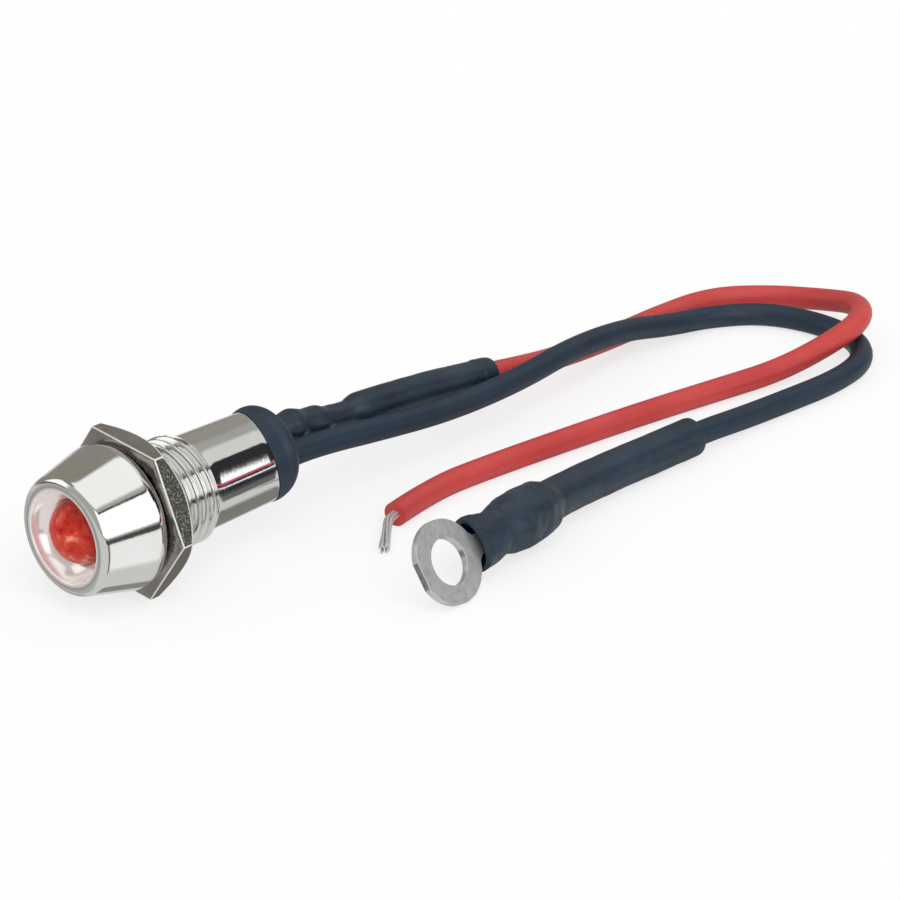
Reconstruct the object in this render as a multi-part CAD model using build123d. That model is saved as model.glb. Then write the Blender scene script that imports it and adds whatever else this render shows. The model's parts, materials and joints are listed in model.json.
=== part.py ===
from build123d import *
import math
import os

os.makedirs("parts", exist_ok=True)

# Panel indicator lamp: a 5 mm LED in a turned and chromed M8 housing, prewired with a resistor in
# the red lead and a ring terminal on the black one. Millimetres. The origin is the centre of the
# panel seat on the lamp's axis; the lamp faces -X, its leads leave towards +X, and +Z is up.

# ---- housing: bezel, threaded shank and plain barrel, turned from one bar
thread_d = 8.0            # M8 x 0.75 over its crests
thread_len = 5.8          # from the panel seat to the end of the thread
barrel_d = 7.0
body_len = 11.57          # from the panel seat to the rear face of the barrel
bezel_depth = 5.3         # from the panel seat to the face of the lip
lip_d = 8.5               # cone at the face of the lip, before it is rounded
cone_angle = 13.7         # half angle of the bezel's cone
shoulder_round = 0.95     # between the cone and the panel seat
lip_round = 0.65
bowl_d = 6.7              # the bowl round the dome, at the face of the lip
bowl_depth = 1.3          # from the face of the lip to the dome's hole
bowl_round = 2.0          # its hollow curve, between a steep rim and a flatter floor
bowl_edge = 0.1
dome_hole_len = 0.15
dome_gap = 0.03           # radial, the dome in its hole
thread_chamfer = 0.3

# ---- 5 mm LED
led_d = 4.9
led_len = 8.6             # tip of the dome to the base
led_flange_d = 5.8
led_flange_len = 1.0
led_stand_out = 0.47      # the dome's tip in front of the lip's face
led_bore_gap = 0.05       # radial, the body in the front bore
flange_gap = 0.15         # radial, flange in the rear bore
led_flat = 2.5            # the flange's cathode flat from the axis
potting_gap = 0.02        # resin round the leadframe
lead_pitch = 2.54
lead_angle = 25           # the line through both leads, up from +Y
leg_w = 0.5
frame_top = 5.3           # top of the reflector cup above the LED's base
cup_d = 1.2
cup_len = 0.6
cup_pocket_d = 0.9
cup_floor_d = 0.5
cup_pocket_len = 0.4
die_w = 0.26
die_h = 0.2

# ---- panel nut
nut_af = 11.0
nut_len = 2.0
nut_clock = 5             # turn of the hexagon about the axis
nut_bore_gap = 0.05
nut_edge_d = 10.0         # where the rear chamfer meets the rear face
nut_edge_start = 0.8      # where the chamfer meets the corners, from the front face
nut_lead_in = 0.3

# ---- pieces that close the barrel
insert_gap = 0.05         # radial, retainer and cap in the rear bore
insert_lead_in = 0.2
retainer_len = 1.7
leg_hole_d = 0.9
spigot_len = 1.3
collar_d = 7.3            # the collar starts flush with the barrel and swells to this
collar_len = 2.53
collar_swell = (0.8, 1.4)  # where it swells, from the barrel's rear face
collar_round = 0.7
hole_gap = 0.03           # radial, leads in the cap's holes

# ---- wire and sleeving
lead_start = 2.13         # the plane that the red lead is set out from, behind the barrel's rear face
wire_d = 1.83
core_d = 0.75             # seven strands, twisted
strand_d = 0.23
strand_step = 0.25
shrink_wall = 0.25
solder_gap = 0.02
resistor_d = 1.85
resistor_len = 3.5
resistor_lead_d = 0.5
lap_up = 0.36             # offset of a stranded core in a lapped joint
lap_down = 0.29           # offset of a solid lead in a lapped joint

# ---- ring terminal for an M3 stud
ring_d = 6.1
stud_hole_d = 3.4
sheet = 0.55
cutoff_w = 2.0            # where the strip was sheared off the ring
tongue_w = 1.5
tongue_flat = 4.8         # end of the tongue's flat part from the ring's centre
crimp_d = 2.8
crimp_start = 7.7         # front of the crimp barrel from the ring's centre
crimp_len = 3.8
crimp_tilt = 6            # the barrel leans back from the ring's plane
crimp_drop = 0.45         # its axis below the ring's plane at its front
crimp_seam = 0.16
crimp_gap = 0.05
cover_wall = 0.35

lip_x = -bezel_depth
tip_x = lip_x - led_stand_out
dome_x = tip_x + led_d / 2
led_base_x = tip_x + led_len
led_seat_x = led_base_x - led_flange_len
front_bore_r = led_d / 2 + led_bore_gap
rear_bore_r = led_flange_d / 2 + flange_gap
insert_r = rear_bore_r - insert_gap
retainer_x = led_base_x + retainer_len
collar_x = body_len + collar_len
lead_x = body_len + lead_start
half_pitch = lead_pitch / 2
lead_y = half_pitch * math.cos(math.radians(lead_angle))
lead_z = half_pitch * math.sin(math.radians(lead_angle))


def turned(*corners):
    """A solid turned about X from (x, radius, corner rounding)."""
    points = [(x, 0, r) for x, r, _ in corners]
    rounds = [c for _, _, c in corners]
    return revolve(make_face(FilletPolyline(*points, radius=rounds, close=True)), Axis.X)


def rod(x0, x1, radius, y=0, z=0):
    """A round bar along X."""
    return extrude(Plane(origin=(x0, y, z), z_dir=(1, 0, 0)) * Circle(radius), x1 - x0)


def bend_radii(points):
    """The largest even bend at each inner point of a route."""
    radii = []
    for a, b, c in zip(points, points[1:], points[2:]):
        run_in = Vector(*b) - Vector(*a)
        run_out = Vector(*c) - Vector(*b)
        turn = math.radians(run_in.get_angle(run_out))
        radii.append(0.45 * min(run_in.length, run_out.length) / math.tan(turn / 2))
    return radii


def route(points):
    return FilletPolyline(*points, radius=bend_radii(points))


def tube_along(path, section):
    return sweep(Plane(origin=path @ 0, z_dir=path % 0) * section, path=path)


def at_x(path, x):
    """The position along a rearward path where it passes x."""
    low, high = 0.0, 1.0
    for _ in range(40):
        mid = (low + high) / 2
        if (path @ mid).X < x:
            low = mid
        else:
            high = mid
    return low


def eased(sizes):
    """Sizes with a soft swell or waist where neighbours differ, for a sleeve shrunk on."""
    full = [sizes[0]]
    for a, b in zip(sizes, sizes[1:]):
        if abs(b[1] - a[1]) > 0.15:
            for t in (0.28, 0.72):
                ease = t * t * (3 - 2 * t)
                full.append((a[0] + t * (b[0] - a[0]), a[1] + ease * (b[1] - a[1]), a[2] + ease * (b[2] - a[2])))
        full.append(b)
    return full


def stations(path, sizes, side, less=0.0):
    """Elliptic sections (x, width, height) across a path; side is the width's direction."""
    sections = []
    for x, width, height in sizes:
        t = at_x(path, x)
        along = path % t
        across = side - along * side.dot(along)
        plane = Plane(origin=path @ t, x_dir=across, z_dir=along)
        sections.append(plane * Ellipse(width / 2 - less, height / 2 - less))
    return sections


# ---------------------------------------------------------------- housing
cone = math.tan(math.radians(cone_angle))
lip_r = lip_d / 2
base_r = lip_r + bezel_depth * cone
bowl_r = bowl_d / 2
hole_x = lip_x + bowl_depth
bore_x = hole_x + dome_hole_len
dome_hole_r = math.sqrt((led_d / 2) ** 2 - max(0, dome_x - bore_x) ** 2) + dome_gap
thread_r = thread_d / 2
barrel_r = barrel_d / 2
housing = turned(
    (0, base_r, shoulder_round),
    (lip_x, lip_r, lip_round),
    (lip_x, bowl_r, bowl_edge),
    (lip_x + 0.63 * bowl_depth, dome_hole_r + 0.75 * (bowl_r - dome_hole_r), bowl_round),
    (hole_x, dome_hole_r, 0),
    (bore_x, dome_hole_r, 0),
    (bore_x + 0.1, front_bore_r, 0),
    (led_seat_x, front_bore_r, 0),
    (led_seat_x, rear_bore_r, 0),
    (body_len, rear_bore_r, 0),
    (body_len, barrel_r, 0),
    (thread_len, barrel_r, 0),
    (thread_len, thread_r - thread_chamfer, 0),
    (thread_len - thread_chamfer, thread_r, 0),
    (0, thread_r, 0),
)

# ---------------------------------------------------------------- panel nut
corner_r = nut_af / math.sqrt(3)
nut_bore_r = thread_r + nut_bore_gap
hexagon = Plane.YZ * RegularPolygon(corner_r, 6, rotation=nut_clock)
nut_turning = turned(
    (0, nut_bore_r + nut_lead_in, 0),
    (nut_lead_in, nut_bore_r, 0),
    (nut_len - nut_lead_in, nut_bore_r, 0),
    (nut_len, nut_bore_r + nut_lead_in, 0),
    (nut_len, nut_edge_d / 2, 0),
    (nut_edge_start, corner_r, 0),
    (nut_edge_start, corner_r + 0.5, 0),
    (0, corner_r + 0.5, 0),
)
panel_nut = extrude(hexagon, nut_len) & nut_turning

# ---------------------------------------------------------------- LED, its leads along local Y
cup_x = led_base_x - frame_top
anvil_x = cup_x + cup_len
half_leg = leg_w / 2
inner_edge = half_pitch - half_leg
outer_edge = half_pitch + half_leg
leg_end_x = led_base_x + 5.1


def plate(outline, grow=0.0):
    """A stamped leadframe piece, or the room it takes in the resin."""
    face = make_face(Polyline(*[(x, y, 0) for x, y in outline], close=True))
    if grow:
        face = offset(face, amount=grow, kind=Kind.INTERSECTION)
    return Pos(0, 0, -half_leg - grow) * extrude(face, leg_w + 2 * grow, dir=(0, 0, 1))


def cathode_frame(grow=0.0):
    anvil = plate([
        (leg_end_x, -outer_edge), (anvil_x + 0.8, -outer_edge), (anvil_x, -cup_d / 2),
        (anvil_x, cup_d / 2 - 0.1), (anvil_x + 0.4, cup_d / 2 - 0.1),
        (led_seat_x - 1.0, -inner_edge), (leg_end_x, -inner_edge)], grow)
    cup = rod(cup_x - grow, anvil_x + half_leg, cup_d / 2 + grow)
    pocket = turned(
        (cup_x - 1, 0, 0), (cup_x - 1, cup_pocket_d / 2 - grow, 0), (cup_x, cup_pocket_d / 2 - grow, 0),
        (cup_x + cup_pocket_len - grow, cup_floor_d / 2 - grow, 0), (cup_x + cup_pocket_len - grow, 0, 0))
    return anvil + cup - pocket


def anode_frame(end_x, grow=0.0):
    return plate([
        (end_x, outer_edge), (anvil_x - 0.3, outer_edge), (anvil_x - 0.3, cup_d / 2 + 0.25),
        (anvil_x + 0.5, cup_d / 2 + 0.25), (led_seat_x - 1.0, inner_edge), (end_x, inner_edge)], grow)


def die_block(grow=0.0):
    size = die_w + 2 * grow
    x = cup_x + cup_pocket_len - die_h / 2
    return Pos(x, 0, 0) * Box(die_h + 2 * grow, size, size)


dome = ThreePointArc(
    (tip_x, 0, 0),
    (dome_x - led_d / 2 * math.cos(math.pi / 4), 0, led_d / 2 * math.sin(math.pi / 4)),
    (dome_x, 0, led_d / 2))
body = Polyline(
    (dome_x, 0, led_d / 2), (led_seat_x, 0, led_d / 2), (led_seat_x, 0, led_flange_d / 2),
    (led_base_x, 0, led_flange_d / 2), (led_base_x, 0, 0), (tip_x, 0, 0))
lens = revolve(make_face([dome.edge(), *body.edges()]), Axis.X)
flat_cut = Pos(led_seat_x, -led_flat - 1, 0) * Box(2 * led_flange_len + 1, 2, led_flange_d)
flat_cut &= rod(led_seat_x, led_base_x, led_flange_d)
lens = lens - flat_cut
lens = lens - cathode_frame(potting_gap) - anode_frame(led_base_x + 1, potting_gap) - die_block(potting_gap)

to_leads = Rot(X=lead_angle)
led_lens = to_leads * lens
led_die = to_leads * die_block()
led_cathode_leg = to_leads * cathode_frame()

# ---------------------------------------------------------------- retainer and end cap
leg_holes = rod(led_base_x - 1, retainer_x + 1, leg_hole_d / 2, half_pitch)
leg_holes += rod(led_base_x - 1, retainer_x + 1, leg_hole_d / 2, -half_pitch)
retainer = turned(
    (led_base_x, 0, 0), (led_base_x, insert_r, 0), (retainer_x - insert_lead_in, insert_r, 0),
    (retainer_x, insert_r - insert_lead_in, 0), (retainer_x, 0, 0))
led_retainer = to_leads * (retainer - leg_holes)

sleeve_start_r = 0.95
cap = turned(
    (body_len - spigot_len, 0, 0), (body_len - spigot_len, insert_r - insert_lead_in, 0),
    (body_len - spigot_len + insert_lead_in, insert_r, 0), (body_len, insert_r, 0),
    (body_len, barrel_r, 0), (body_len + collar_swell[0], barrel_r, 0),
    (body_len + collar_swell[1], collar_d / 2, 0), (collar_x, collar_d / 2, collar_round), (collar_x, 0, 0))
cap -= rod(0, collar_x + 1, sleeve_start_r + hole_gap, lead_y, lead_z)
end_cap = cap - rod(0, collar_x + 1, wire_d / 2 + hole_gap, -lead_y, -lead_z)

# ---------------------------------------------------------------- red lead: joint, resistor, sleeve
sleeve_x = body_len - 2.1
anode_axis = route([
    (sleeve_x, lead_y, lead_z),
    (lead_x + 3.7, lead_y, lead_z),
    (lead_x + 8.7, lead_y + 0.14, lead_z - 0.82),
    (lead_x + 15.3, lead_y + 0.25, lead_z - 1.34),
    (lead_x + 20.5, lead_y + 0.30, lead_z - 1.99),
    (lead_x + 25.9, lead_y + 0.35, lead_z - 2.91),
])


def by_axis(x, up=0.0):
    point = anode_axis @ at_x(anode_axis, x)
    return (point.X, point.Y, point.Z + up)


def bent(points, radius):
    return FilletPolyline(*points, radius=radius)


up = half_leg + solder_gap / 2
joint_x = lead_x + 3.2
joint_end = lead_x + 7.0
leg_path = bent([(lead_x + 0.5, lead_y, lead_z), (lead_x + 1.6, lead_y, lead_z),
                 by_axis(joint_x, up), by_axis(joint_end - 0.4, up)], 1.5)
leg_square = Plane(origin=leg_path @ 0, x_dir=(0, math.cos(math.radians(lead_angle)),
                   math.sin(math.radians(lead_angle))), z_dir=leg_path % 0)
leg_tail = sweep(leg_square * Rectangle(leg_w, leg_w), path=leg_path)
leg_room = sweep(leg_square * Rectangle(leg_w + 2 * solder_gap, leg_w + 2 * solder_gap), path=leg_path)
led_anode_leg = to_leads * anode_frame(lead_x + 0.5) + leg_tail

resistor_x = lead_x + 11.3
resistor_end = resistor_x + resistor_len
lead_r = resistor_lead_d / 2
front_path = bent([by_axis(joint_x - 0.1, -up - 0.06), by_axis(joint_end, -up - 0.06),
                   by_axis(joint_end + 1.3), by_axis(resistor_x)], 1.5)
rear_path = bent([by_axis(resistor_end), by_axis(resistor_end + 1.6),
                  by_axis(resistor_end + 3.0, -lap_down), by_axis(resistor_end + 6.1, -lap_down)], 1.5)
resistor_front_lead = tube_along(front_path, Circle(lead_r))
resistor_rear_lead = tube_along(rear_path, Circle(lead_r))

mid = at_x(anode_axis, resistor_x + resistor_len / 2)
resistor_dir = Vector(*by_axis(resistor_end)) - Vector(*by_axis(resistor_x))
resistor_plane = Plane(origin=anode_axis @ mid, z_dir=resistor_dir)
half = resistor_len / 2
end_bulb = 0.9
core = extrude(resistor_plane.offset(-half + 0.3) * Circle(resistor_d / 2 - 0.1), resistor_len - 0.6)
bulb_a = extrude(resistor_plane.offset(-half) * Circle(resistor_d / 2), end_bulb)
bulb_b = extrude(resistor_plane.offset(half - end_bulb) * Circle(resistor_d / 2), end_bulb)
bulb_a = fillet(bulb_a.edges().filter_by(GeomType.CIRCLE), 0.3)
bulb_b = fillet(bulb_b.edges().filter_by(GeomType.CIRCLE), 0.3)
resistor_body = core + bulb_a + bulb_b

wide = Vector(0, 1, 0)
lumps = [(joint_x - 0.1, 0.64), (joint_x + 0.6, 0.83), (joint_x + 1.6, 0.63),
         (joint_x + 3.1, 0.71), (joint_end, 0.58)]
lump = loft(stations(anode_axis, [(x, 2 * r, 2 * r) for x, r in lumps], wide), ruled=True)
lead_room = tube_along(front_path, Circle(lead_r + solder_gap))
anode_solder = lump - leg_room - lead_room

red_start_x = lead_x + 22.3
core_r = core_d / 2
tail_path = bent([by_axis(red_start_x), by_axis(red_start_x - 0.35), by_axis(red_start_x - 1.3, lap_up),
                  by_axis(red_start_x - 3.7, lap_up)], 0.7)
red_core_tail = tube_along(tail_path, Circle(core_r))
red_lump = loft(stations(anode_axis, [
    (red_start_x - 3.5, 1.5, 1.68), (red_start_x - 2.9, 1.7, 1.84), (red_start_x - 2.1, 1.5, 1.68)], wide), ruled=True)
red_solder = red_lump - tube_along(tail_path, Circle(core_r + solder_gap))
red_solder -= tube_along(rear_path, Circle(lead_r + solder_gap))

sleeve_sizes = [(0.6, 0.95), (2.4, 0.96), (3.1, 1.05), (3.8, 1.15), (4.8, 0.90), (6.3, 1.03), (7.6, 0.74),
                (9.5, 0.79), (10.2, 1.06), (10.9, 1.25), (12.5, 1.24), (16.5, 1.20), (20.6, 1.21),
                (23.0, 1.23), (23.9, 1.30), (25.0, 1.32)]
bore_rings = [(lead_x + x, 2 * r, 2 * r) for x, r in sleeve_sizes]
sleeve_rings = eased(bore_rings)
sleeve_out = loft(stations(anode_axis, sleeve_rings, wide), ruled=True)
sleeve_out += rod(sleeve_x, lead_x + 0.6, sleeve_start_r, lead_y, lead_z)
sleeve_in = loft(stations(anode_axis, bore_rings, wide, shrink_wall), ruled=True)
sleeve_in += rod(sleeve_x, lead_x + 0.6, sleeve_start_r - shrink_wall, lead_y, lead_z)
resistor_sleeve = sleeve_out - sleeve_in

# ---------------------------------------------------------------- wires, lying loose
black_start_x = body_len - 2.57
red_points = [
    by_axis(red_start_x), (41.0, 1.52, -2.66), (47.5, 1.9, -3.7), (54.5, 2.6, -4.4), (61.5, 2.9, -4.84),
    (67.3, 2.1, -4.84), (71.5, -0.5, -4.84), (73.2, -4.8, -4.4), (71.8, -9.2, -3.2), (68.1, -12.0, -2.85),
    (63.6, -12.2, -3.45), (58.9, -10.9, -4.65), (53.1, -9.5, -4.84), (45.5, -8.15, -4.84),
    (37.5, -7.05, -4.84), (30.5, -6.2, -4.84), (25.0, -5.8, -4.84), (20.0, -6.8, -4.84)]
black_points = [
    (black_start_x, -lead_y, -lead_z), (lead_x + 2.5, -lead_y, -lead_z), (23.5, -1.1, -1.15),
    (31.5, -1.15, -2.1), (39.5, -1.05, -2.2), (46.5, -0.3, -2.2), (53.5, 0.3, -2.95), (59.3, 0.75, -4.35),
    (64.3, 0.3, -4.84), (67.8, -2.4, -4.84), (69.1, -6.7, -4.84), (68.6, -11.1, -4.84), (65.6, -14.3, -4.84),
    (60.8, -15.2, -4.84), (54.5, -14.7, -4.84), (49.8, -14.55, -4.64), (45.6, -14.55, -4.25),
    (40.4, -14.4, -4.22), (34.2, -14.3, -4.08), (28.6, -14.95, -3.6)]
red_path = route(red_points)
black_path = route(black_points)
red_wire = tube_along(red_path, Circle(wire_d / 2))
black_wire = tube_along(black_path, Circle(wire_d / 2))

# black joint, hidden in the barrel: core lapped on the cathode leg under a short sleeve
lap = half_leg + core_r + solder_gap
black_core_path = bent([(black_start_x, 0, 0), (black_start_x - 0.3, 0, 0),
                        (black_start_x - 1.05, 0, lap), (black_start_x - 2.8, 0, lap)], 0.5)
on_cathode = Pos(0, -lead_y, -lead_z) * Rot(X=lead_angle)
black_core_tail = on_cathode * tube_along(black_core_path, Circle(core_r))
cathode_lump = extrude(Plane(origin=(black_start_x - 2.5, 0, lap / 2), z_dir=(1, 0, 0)) * Circle(0.66), 1.3)
cathode_lump = chamfer(cathode_lump.edges().filter_by(GeomType.CIRCLE), 0.2)
cathode_lump -= tube_along(black_core_path, Circle(core_r + solder_gap))
cathode_lump -= Pos(leg_end_x - 5, 0, 0) * Box(10, leg_w + 2 * solder_gap, leg_w + 2 * solder_gap)
cathode_solder = on_cathode * cathode_lump
cover_r = lap + core_r + 0.06
cathode_sleeve = rod(black_start_x - 3.4, black_start_x + 1.1, cover_r + shrink_wall, -lead_y, -lead_z)
cathode_sleeve -= rod(black_start_x - 3.4, black_start_x + 1.1, cover_r, -lead_y, -lead_z)

# stripped end of the red wire: seven strands, sagging to the ground
strip = [Vector(*red_points[-1]), Vector(19.2, -6.97, -4.86), Vector(17.9, -7.8, -5.14),
         Vector(16.3, -9.3, -5.34)]
red_strands = []
for k in range(7):
    reach = strand_step if k else 0.0
    turn = math.radians(60 * k)
    points = []
    for i, point in enumerate(strip):
        along = (strip[min(i + 1, 3)] - strip[max(i - 1, 0)]).normalized()
        if i == 0:
            along = (red_path % 1).normalized()
        side = along.cross(Vector(0, 0, 1)).normalized()
        over = side.cross(along)
        spread = 1.0 + 0.15 * max(0, i - 1)
        points.append(point + side * (reach * spread * math.cos(turn)) + over * (reach * math.sin(turn)))
    points[3] = points[3] + (points[3] - points[2]).normalized() * (0.35 * ((k * 3) % 7) / 7)
    strand_path = bent(points, 0.8)
    red_strands.append(tube_along(strand_path, Circle(strand_d / 2)))
red_strands = Compound(children=red_strands)

# ---------------------------------------------------------------- ring terminal
ring_plane = Plane(origin=(14.22, -17.34, -3.0), x_dir=(0.994, 0.107, 0.001), z_dir=(0.09, -0.844, 0.53))
ring = Pos(0, 0, -sheet / 2) * extrude(Circle(ring_d / 2), sheet)
ring = fillet(ring.edges().filter_by(GeomType.CIRCLE), 0.1)
cutoff_x = math.sqrt((ring_d / 2) ** 2 - (cutoff_w / 2) ** 2)
ring -= Pos(-cutoff_x - 1, 0, 0) * Box(2, ring_d, 2)
crimp_r = crimp_d / 2
wall_mid = crimp_r - sheet / 2
tongue_path = bent([(ring_d / 2 - 0.6, 0, 0), (tongue_flat, 0, 0), (crimp_start - 0.3, 0, wall_mid - crimp_drop),
                    (crimp_start + 1.0, 0, wall_mid - crimp_drop - 0.12)], 1.2)
tongue = sweep(Plane(origin=tongue_path @ 0, x_dir=(0, 1, 0), z_dir=tongue_path % 0)
               * Rectangle(tongue_w, sheet), path=tongue_path)
crimp_frame = Plane(origin=(crimp_start, 0, -crimp_drop), x_dir=(0, 1, 0),
                    z_dir=(math.cos(math.radians(crimp_tilt)), 0, -math.sin(math.radians(crimp_tilt))))
hollow = crimp_frame.offset(-2) * Circle(crimp_r - sheet)
crimp = extrude(crimp_frame * Circle(crimp_r), crimp_len)
seam = crimp_frame * Pos(0, crimp_r, crimp_len / 2) * Box(crimp_seam, 2 * sheet + 1, crimp_len + 1)
tongue &= extrude(crimp_frame.offset(-10) * Circle(crimp_r + 3), 12)
terminal = ring + tongue + crimp
terminal -= extrude(hollow, crimp_len + 4)
terminal -= crimp_frame * Pos(0, crimp_r, crimp_len / 2) * Box(crimp_seam, crimp_r, crimp_len + 1)
terminal -= Pos(0, 0, -2) * extrude(Circle(stud_hole_d / 2), 4)
ring_terminal = ring_plane * terminal

folded_r = crimp_r - sheet - crimp_gap
folded = ring_plane * extrude(crimp_frame.offset(0.3) * Circle(folded_r), crimp_len - 0.6)
folded_end = folded.faces().sort_by(Axis.X)[-1].center()
core_run = Line(black_points[-1], folded_end)

cover_points = [(17.09, -16.97, -2.9), (20.4, -16.46, -3.02), (24.58, -15.78, -3.3)] + black_points[:-6:-1]
cover_path = route(cover_points)
black_crimp_core = folded + tube_along(core_run, Circle(core_r))

cover_end_x = 43.9
cover_sizes = [(17.12, 4.1, 2.6), (18.7, 3.72, 2.75), (20.0, 3.42, 2.95), (21.2, 3.85, 3.6), (22.3, 4.18, 4.0),
               (24.3, 4.2, 4.06), (25.5, 4.05, 3.95), (26.3, 3.45, 3.4), (26.9, 3.1, 3.08), (31.0, 3.0, 2.98),
               (38.0, 3.0, 2.98), (cover_end_x, 3.0, 2.98)]
cover_rings = eased(cover_sizes)
across = ring_plane.y_dir
terminal_sleeve = loft(stations(cover_path, cover_rings, across), ruled=True)
terminal_sleeve -= loft(stations(cover_path, cover_sizes, across, cover_wall), ruled=True)

nodes = {
    "housing": housing,
    "panel_nut": panel_nut,
    "led_lens": led_lens,
    "led_die": led_die,
    "led_cathode_leg": led_cathode_leg,
    "led_anode_leg": led_anode_leg,
    "led_retainer": led_retainer,
    "end_cap": end_cap,
    "cathode_solder": cathode_solder,
    "cathode_sleeve": cathode_sleeve,
    "anode_solder": anode_solder,
    "resistor_front_lead": resistor_front_lead,
    "resistor_body": resistor_body,
    "resistor_rear_lead": resistor_rear_lead,
    "red_solder": red_solder,
    "red_core_tail": red_core_tail,
    "resistor_sleeve": resistor_sleeve,
    "red_wire": red_wire,
    "red_strands": red_strands,
    "black_core_tail": black_core_tail,
    "black_wire": black_wire,
    "black_crimp_core": black_crimp_core,
    "ring_terminal": ring_terminal,
    "terminal_sleeve": terminal_sleeve,
}

for name, shape in nodes.items():
    export_step(shape, f"parts/{name}.step")
    box = shape.bounding_box()
    print(f"{name:20s} solids {len(shape.solids())} volume {shape.volume:8.3f} lowest {box.min.Z:7.3f}")

for name, points, path, tube in (("red", red_points, red_path, red_wire),
                                 ("black", black_points, black_path, black_wire)):
    print(name, "wire length", round(path.length, 1), "bends", [round(r, 1) for r in bend_radii(points)])
    plain = math.pi * wire_d ** 2 / 4 * path.length
    print(name, "tube volume over section times length", round(tube.volume / plain, 5))
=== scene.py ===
import bpy
import bmesh
import json
import math
from mathutils import Matrix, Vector, Vector as V, noise

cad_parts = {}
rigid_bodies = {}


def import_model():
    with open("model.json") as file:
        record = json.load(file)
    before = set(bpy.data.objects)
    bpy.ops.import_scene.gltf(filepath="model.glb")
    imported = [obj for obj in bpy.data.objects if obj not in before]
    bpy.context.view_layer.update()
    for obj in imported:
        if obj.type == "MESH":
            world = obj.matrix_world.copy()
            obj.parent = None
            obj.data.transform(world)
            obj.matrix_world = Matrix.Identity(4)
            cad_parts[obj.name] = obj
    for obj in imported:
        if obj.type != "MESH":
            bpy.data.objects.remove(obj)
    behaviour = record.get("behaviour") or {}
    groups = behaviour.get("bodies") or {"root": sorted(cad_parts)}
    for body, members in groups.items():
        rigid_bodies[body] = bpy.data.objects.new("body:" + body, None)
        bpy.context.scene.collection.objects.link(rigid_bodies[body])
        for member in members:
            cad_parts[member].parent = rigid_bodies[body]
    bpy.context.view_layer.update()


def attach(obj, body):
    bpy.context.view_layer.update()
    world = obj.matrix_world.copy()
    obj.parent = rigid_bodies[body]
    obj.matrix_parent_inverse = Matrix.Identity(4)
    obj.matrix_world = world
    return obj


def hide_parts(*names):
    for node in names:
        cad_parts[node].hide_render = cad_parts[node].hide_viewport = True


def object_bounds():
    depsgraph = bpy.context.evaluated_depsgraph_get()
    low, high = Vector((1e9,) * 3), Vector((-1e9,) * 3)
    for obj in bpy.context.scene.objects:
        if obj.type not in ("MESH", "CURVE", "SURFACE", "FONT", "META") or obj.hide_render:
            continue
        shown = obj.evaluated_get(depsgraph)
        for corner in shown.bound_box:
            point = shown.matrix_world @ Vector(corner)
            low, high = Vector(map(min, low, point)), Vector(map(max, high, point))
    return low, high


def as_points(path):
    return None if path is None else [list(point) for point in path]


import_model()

MM = 0.001


def add(name, data):
    """A new object in the scene."""
    obj = bpy.data.objects.new(name, data)
    bpy.context.collection.objects.link(obj)
    return obj


def clamp(t):
    return min(max(t, 0.0), 1.0)


def ease(t):
    """From 0 to 1 with a level start and end."""
    return t * t * (3 - 2 * t)


# ------------------------------------------------------------------ camera
camera = add("camera", bpy.data.cameras.new("camera"))
camera.data.lens = 143.068
camera.data.sensor_width = 36
camera.data.clip_start = 0.01
camera.data.clip_end = 100
right = V((0.68422396, -0.72927195, 0))
up = V((0.30368596, 0.28492692, 0.90917077))
turn = Matrix((right, up, right.cross(up))).transposed().to_4x4()
eye = V((-146.04328513, -167.98615524, 106.22483749)) * MM
camera.matrix_world = Matrix.Translation(eye) @ turn
bpy.context.scene.camera = camera


# ------------------------------------------------------------------ node helpers
class Nodes:
    """A node tree, with short calls for the nodes that this file uses."""

    def __init__(self, tree):
        self.tree = tree
        tree.nodes.clear()

    def new(self, kind):
        return self.tree.nodes.new("ShaderNode" + kind)

    def link(self, a, b):
        self.tree.links.new(a, b)

    def feed(self, socket, value):
        """Gives a socket a number, a colour or another node's output."""
        if isinstance(value, (int, float)):
            socket.default_value = value
        elif isinstance(value, tuple):
            socket.default_value = (*value, 1)
        elif value is not None:
            self.link(value, socket)

    def parts(self, vector):
        """The x, y and z of a vector."""
        node = self.new("SeparateXYZ")
        self.link(vector, node.inputs[0])
        return node.outputs

    def math(self, kind, a, b=None):
        node = self.new("Math")
        node.operation = kind
        self.feed(node.inputs[0], a)
        self.feed(node.inputs[1], b)
        return node.outputs[0]

    def times(self, a, b):
        return self.math("MULTIPLY", a, b)

    def plus(self, a, b):
        return self.math("ADD", a, b)

    def span(self, value, lo, hi, a=0.0, b=1.0, kind="LINEAR"):
        """The value's range lo to hi as a to b, and no further."""
        node = self.new("MapRange")
        node.interpolation_type = kind
        for key, number in zip(("From Min", "From Max", "To Min", "To Max"), (lo, hi, a, b)):
            node.inputs[key].default_value = number
        self.link(value, node.inputs[0])
        return node.outputs[0]

    def mix(self, under, over, mask):
        """One colour over another, where the mask is 1."""
        node = self.new("Mix")
        node.data_type = "RGBA"
        self.feed(node.inputs[0], mask)
        self.feed(node.inputs[6], under)
        self.feed(node.inputs[7], over)
        return node.outputs[2]

    def blend(self, under, over, mask):
        """One shader over another, where the mask is 1."""
        node = self.new("MixShader")
        for socket, output in zip(node.inputs, (mask, under, over)):
            self.link(output, socket)
        return node.outputs[0]


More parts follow.
